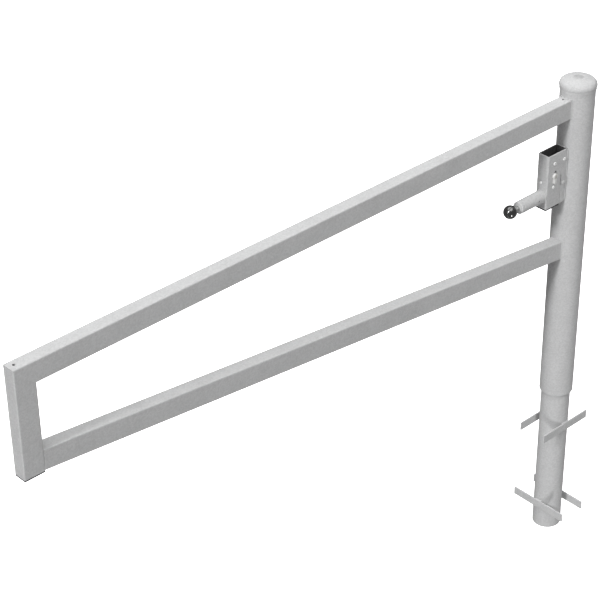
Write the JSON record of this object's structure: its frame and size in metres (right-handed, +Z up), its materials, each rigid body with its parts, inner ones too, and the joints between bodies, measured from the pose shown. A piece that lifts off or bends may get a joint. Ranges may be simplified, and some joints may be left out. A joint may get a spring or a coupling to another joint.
{
  "type": "parking barrier gate",
  "caption": "Swing barrier gate: ground tube with anchors, turning sleeve, tapered arm of rectangular tube, lock box and sprung plunger.",
  "frame": {"origin": "on the post's axis at ground level, where the ground tube leaves the concrete", "axes": "+Z up along the post; -X along the closed arm, from the post to the free end; +Y completes the right-handed set, so the lock cylinder faces -Y"},
  "size_m": [2.05, 0.2, 1.5805],
  "materials": {
    "galvanised_steel": "matte, hot-dip galvanised",
    "zinc_plated_steel": "satin, zinc plated",
    "plain_steel": "oiled, machined",
    "spring_steel": "drawn wire",
    "brass": "satin",
    "plug_black": "moulded, matte",
    "knob_black": "polished",
    "bearing_plastic": "machined, natural white"
  },
  "bodies": {
    "ground_post": {"ground_tube": "galvanised_steel", "anchor_bar_1": "galvanised_steel", "anchor_bar_2": "galvanised_steel", "anchor_bar_3": "galvanised_steel", "anchor_bar_4": "galvanised_steel", "post_top_plate": "galvanised_steel", "thrust_washer": "bearing_plastic", "retaining_washer": "zinc_plated_steel", "retaining_bolt": "zinc_plated_steel"},
    "gate": {"sleeve": "galvanised_steel", "lower_bush": "bearing_plastic", "upper_bush": "bearing_plastic", "bearing_disc": "galvanised_steel", "cap": "galvanised_steel", "upper_rail": "galvanised_steel", "lower_rail": "galvanised_steel", "end_stile": "galvanised_steel", "stile_plug": "plug_black", "lock_box": "galvanised_steel", "box_plug": "plug_black", "guide_block": "plain_steel", "lock_case": "zinc_plated_steel", "lock_case_cover": "zinc_plated_steel", "case_screw_1": "zinc_plated_steel", "case_screw_2": "zinc_plated_steel", "case_screw_3": "zinc_plated_steel", "case_screw_4": "zinc_plated_steel", "cylinder_body": "zinc_plated_steel", "cylinder_screw": "zinc_plated_steel", "plunger_housing": "galvanised_steel", "housing_end_cap": "galvanised_steel", "plunger_spring": "spring_steel"},
    "plunger": {"plunger_bolt": "zinc_plated_steel", "spring_seat": "zinc_plated_steel", "ball_knob": "knob_black", "knob_insert": "brass"},
    "lock_bolt": {"lock_bolt": "plain_steel"},
    "key_plug": {"cylinder_plug": "brass", "cylinder_cam": "plain_steel"}
  },
  "joints": [
    {"name": "gate_swing", "type": "hinge", "parent": "ground_post", "child": "gate", "pos_m": [0, 0, 0], "axis": [0, 0, 1], "range_deg": [-90, 90]},
    {"name": "plunger_slide", "type": "slide", "parent": "gate", "child": "plunger", "axis": [1, 0, 0], "range_m": [0, 0.012], "stiffness_N_per_m": 900, "springref_m": 0.0287, "deforming": ["plunger_spring"]},
    {"name": "key_turn", "type": "hinge", "parent": "gate", "child": "key_plug", "pos_m": [-0.102, 0, 0.811], "axis": [0, 1, 0], "range_deg": [0, 360]},
    {"name": "deadbolt_slide", "type": "slide", "parent": "gate", "child": "lock_bolt", "axis": [1, 0, 0], "range_m": [0, 0.018]}
  ],
  "couplings": [
    {"joint": "key_turn", "follows": "deadbolt_slide", "rad_per_m": 349}
  ]
}
